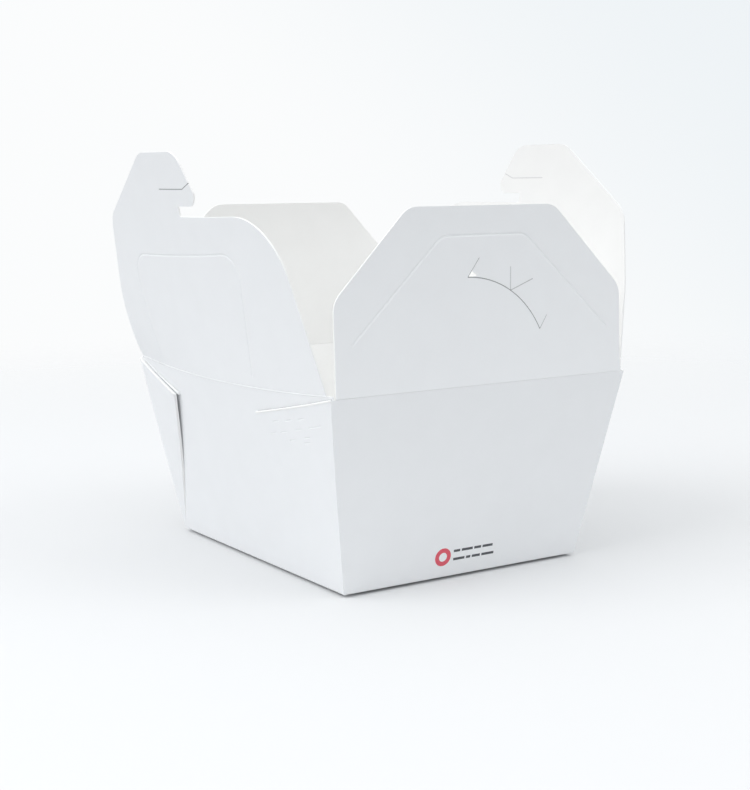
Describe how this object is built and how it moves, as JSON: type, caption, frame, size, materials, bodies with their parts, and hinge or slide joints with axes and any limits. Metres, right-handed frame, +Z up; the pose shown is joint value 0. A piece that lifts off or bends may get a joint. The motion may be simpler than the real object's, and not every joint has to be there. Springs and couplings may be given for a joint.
{
  "type": "takeout food box",
  "caption": "Folded paperboard food box with sloping walls, webbed glued corners, octagonal vent flaps and hooked lock flaps standing open.",
  "frame": {"origin": "centre of the base's underside, on the surface that the box stands on", "axes": "+Z up; -Y is the front, the short wall under the vent flap with the cut arc; -X and +X are the long walls with the lock flaps"},
  "size_m": [0.1381, 0.1316, 0.1367],
  "materials": {
    "paperboard": "smooth matt white board, faintly cool outside and warmer inside"
  },
  "bodies": {
    "carton": {"carton": "paperboard"},
    "front_vent": {"front_vent_flap": "paperboard"},
    "rear_vent": {"rear_vent_flap": "paperboard"},
    "left_lock": {"left_lock_flap": "paperboard"},
    "right_lock": {"right_lock_flap": "paperboard"}
  },
  "joints": [
    {"name": "front_vent_crease", "type": "hinge", "parent": "carton", "child": "front_vent", "pos_m": [0, -0.06556, 0.063], "axis": [1, 0, 0], "range_deg": [-88, 92]},
    {"name": "rear_vent_crease", "type": "hinge", "parent": "carton", "child": "rear_vent", "pos_m": [0, 0.06556, 0.063], "axis": [-1, 0, 0], "range_deg": [-84.5, 95.5]},
    {"name": "left_lock_crease", "type": "hinge", "parent": "carton", "child": "left_lock", "pos_m": [-0.05475, 0, 0.064], "axis": [0, -1, 0], "range_deg": [-100.5, 78]},
    {"name": "right_lock_crease", "type": "hinge", "parent": "carton", "child": "right_lock", "pos_m": [0.05475, 0, 0.064], "axis": [0, 1, 0], "range_deg": [-100, 80]}
  ]
}
